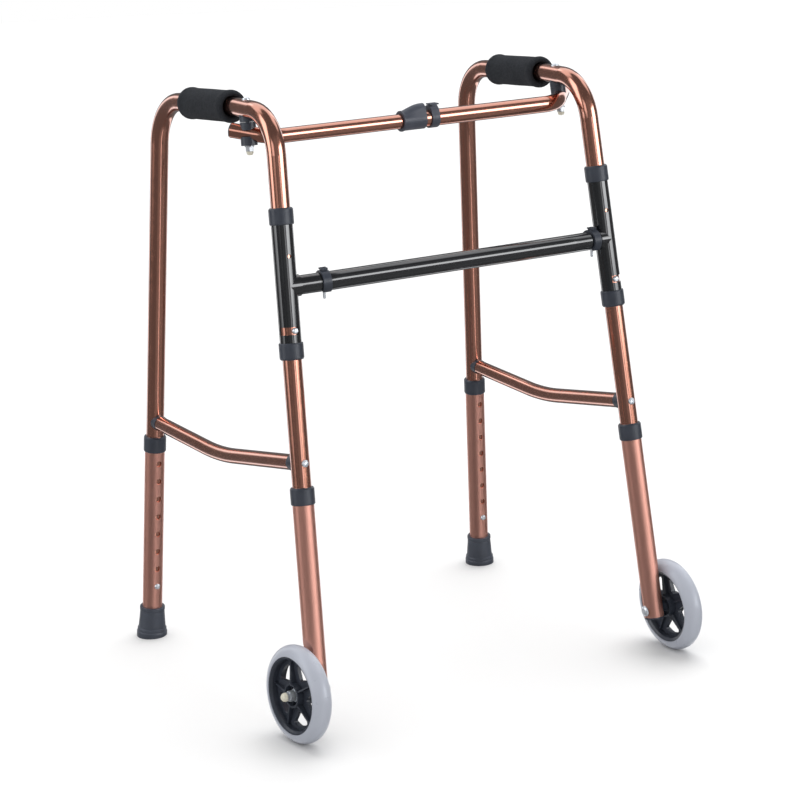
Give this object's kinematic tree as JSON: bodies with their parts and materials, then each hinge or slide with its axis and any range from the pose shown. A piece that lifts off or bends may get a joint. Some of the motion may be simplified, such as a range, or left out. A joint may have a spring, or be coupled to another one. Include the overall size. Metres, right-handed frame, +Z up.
{
  "type": "walking frame",
  "caption": "Folding walking frame with two front wheels, telescoping height-adjustable legs, foam hand grips, rubber rear feet and a latched telescopic top bar.",
  "frame": {"origin": "on the floor under the middle of the footprint", "axes": "+Z up, -Y is the front with the wheels, X is the width"},
  "size_m": [0.6597, 0.5767, 0.8322],
  "materials": {
    "copper": "bright copper anodised",
    "copper_satin": "satin copper anodised",
    "black_frame": "gloss black",
    "black_plastic": "satin black",
    "grey_plastic": "satin dark grey",
    "foam": "matt foam",
    "foot_rubber": "matt rubber",
    "tyre": "smooth grey",
    "zinc": "bright zinc",
    "spring_steel": "spring steel"
  },
  "bodies": {
    "hinge_frame": {"cross_bar": "black_frame", "left_hinge_sleeve": "black_frame", "right_hinge_sleeve": "black_frame", "left_sleeve_collars": "black_plastic", "right_sleeve_collars": "black_plastic", "left_cross_clip": "black_plastic", "right_cross_clip": "black_plastic", "cross_pins": "zinc"},
    "left_side": {"left_side_frame": "copper", "left_grip": "foam", "left_brace": "copper", "left_brace_saddles": "black_plastic", "left_brace_screws": "zinc", "left_button_springs": "spring_steel", "left_pivot_bolt": "zinc", "left_pivot_saddle": "black_plastic", "left_pivot_nut": "zinc"},
    "left_rear_extension": {"left_rear_leg": "copper_satin", "left_rear_collar": "black_plastic", "left_rear_foot": "foot_rubber"},
    "left_front_extension": {"left_front_leg": "copper_satin", "left_front_collar": "black_plastic", "left_front_plug": "black_plastic", "left_axle_bolt": "zinc", "left_axle_nut": "zinc"},
    "left_wheel": {"left_tyre": "tyre", "left_rim": "black_plastic"},
    "left_rear_button_body": {"left_rear_button": "zinc"},
    "left_front_button_body": {"left_front_button": "zinc"},
    "left_sleeve_button_body": {"left_sleeve_button": "zinc"},
    "right_side": {"right_side_frame": "copper", "right_grip": "foam", "right_brace": "copper", "right_brace_saddles": "black_plastic", "right_brace_screws": "zinc", "right_button_springs": "spring_steel", "right_pivot_bolt": "zinc", "right_pivot_saddle": "black_plastic", "right_pivot_nut": "zinc"},
    "right_rear_extension": {"right_rear_leg": "copper_satin", "right_rear_collar": "black_plastic", "right_rear_foot": "foot_rubber"},
    "right_front_extension": {"right_front_leg": "copper_satin", "right_front_collar": "black_plastic", "right_front_plug": "black_plastic", "right_axle_bolt": "zinc", "right_axle_nut": "zinc"},
    "right_wheel": {"right_tyre": "tyre", "right_rim": "black_plastic"},
    "right_rear_button_body": {"right_rear_button": "zinc"},
    "right_front_button_body": {"right_front_button": "zinc"},
    "right_sleeve_button_body": {"right_sleeve_button": "zinc"},
    "inner_bar": {"top_bar_inner": "copper", "inner_bar_cap": "black_plastic", "inner_bar_saddles": "black_plastic"},
    "outer_bar": {"top_bar_outer": "copper", "outer_bar_cap": "black_plastic", "outer_bar_spacer": "black_plastic", "latch_housing": "grey_plastic"},
    "latch_ring_body": {"latch_ring": "grey_plastic"}
  },
  "joints": [
    {"name": "left_fold", "type": "hinge", "parent": "hinge_frame", "child": "left_side", "pos_m": [-0.25145, -0.13874, 0.59941], "axis": [-0.0404, -0.1504, -0.9878], "range_deg": [0, 30]},
    {"name": "left_rear_height", "type": "slide", "parent": "left_side", "child": "left_rear_extension", "axis": [-0.0459, 0.0638, -0.9969], "range_m": [0, 0.189], "deforming": ["left_rear_button"]},
    {"name": "left_front_height", "type": "slide", "parent": "left_side", "child": "left_front_extension", "axis": [-0.0404, -0.1504, -0.9878], "range_m": [0, 0.135], "deforming": ["left_front_button"]},
    {"name": "left_wheel_spin", "type": "hinge", "parent": "left_front_extension", "child": "left_wheel", "pos_m": [-0.30284, -0.2229, 0.06626], "axis": [-0.9943, -0.0912, 0.0545], "continuous": true},
    {"name": "left_rear_button_press", "type": "slide", "parent": "left_side", "child": "left_rear_button_body", "axis": [-0.0211, 0.9977, 0.0648], "range_m": [0, 0.0048], "stiffness_N_per_m": 1200, "springref_m": -0.002, "deforming": ["left_button_springs"]},
    {"name": "left_front_button_press", "type": "slide", "parent": "left_side", "child": "left_front_button_body", "axis": [0.0305, -0.9883, 0.1493], "range_m": [0, 0.0048], "stiffness_N_per_m": 1200, "springref_m": -0.002, "deforming": ["left_button_springs"]},
    {"name": "left_sleeve_button_press", "type": "slide", "parent": "left_side", "child": "left_sleeve_button_body", "axis": [-0.0305, 0.9883, -0.1493], "range_m": [0, 0.0048], "stiffness_N_per_m": 1200, "springref_m": -0.002, "deforming": ["left_button_springs"]},
    {"name": "inner_bar_pivot", "type": "hinge", "parent": "left_side", "child": "inner_bar", "pos_m": [-0.2458, -0.03997, 0.77973], "axis": [0.0404, 0.1504, 0.9878], "range_deg": [0, 30]},
    {"name": "right_fold", "type": "hinge", "parent": "hinge_frame", "child": "right_side", "pos_m": [0.25145, -0.13874, 0.59941], "axis": [-0.0404, 0.1504, 0.9878], "range_deg": [0, 30]},
    {"name": "right_rear_height", "type": "slide", "parent": "right_side", "child": "right_rear_extension", "axis": [0.0459, 0.0638, -0.9969], "range_m": [0, 0.189], "deforming": ["right_rear_button"]},
    {"name": "right_front_height", "type": "slide", "parent": "right_side", "child": "right_front_extension", "axis": [0.0404, -0.1504, -0.9878], "range_m": [0, 0.135], "deforming": ["right_front_button"]},
    {"name": "right_wheel_spin", "type": "hinge", "parent": "right_front_extension", "child": "right_wheel", "pos_m": [0.30299, -0.22029, 0.06586], "axis": [0.9991, -0.0034, 0.0414], "continuous": true},
    {"name": "right_rear_button_press", "type": "slide", "parent": "right_side", "child": "right_rear_button_body", "axis": [0.0211, 0.9977, 0.0648], "range_m": [0, 0.0048], "stiffness_N_per_m": 1200, "springref_m": -0.002, "deforming": ["right_button_springs"]},
    {"name": "right_front_button_press", "type": "slide", "parent": "right_side", "child": "right_front_button_body", "axis": [-0.0305, -0.9883, 0.1493], "range_m": [0, 0.0048], "stiffness_N_per_m": 1200, "springref_m": -0.002, "deforming": ["right_button_springs"]},
    {"name": "right_sleeve_button_press", "type": "slide", "parent": "right_side", "child": "right_sleeve_button_body", "axis": [0.0305, 0.9883, -0.1493], "range_m": [0, 0.0048], "stiffness_N_per_m": 1200, "springref_m": -0.002, "deforming": ["right_button_springs"]},
    {"name": "outer_bar_pivot", "type": "hinge", "parent": "right_side", "child": "outer_bar", "pos_m": [0.2458, -0.03997, 0.77973], "axis": [0.0404, -0.1504, -0.9878], "range_deg": [0, 30]},
    {"name": "latch_ring_push", "type": "slide", "parent": "outer_bar", "child": "latch_ring_body", "axis": [-1, 0, 0], "range_m": [0, 0.005], "stiffness_N_per_m": 800, "springref_m": -0.003}
  ],
  "couplings": [
    {"joint": "right_fold", "follows": "left_fold", "ratio": 1},
    {"joint": "inner_bar_pivot", "follows": "left_fold", "ratio": 1},
    {"joint": "outer_bar_pivot", "follows": "left_fold", "ratio": 1}
  ]
}
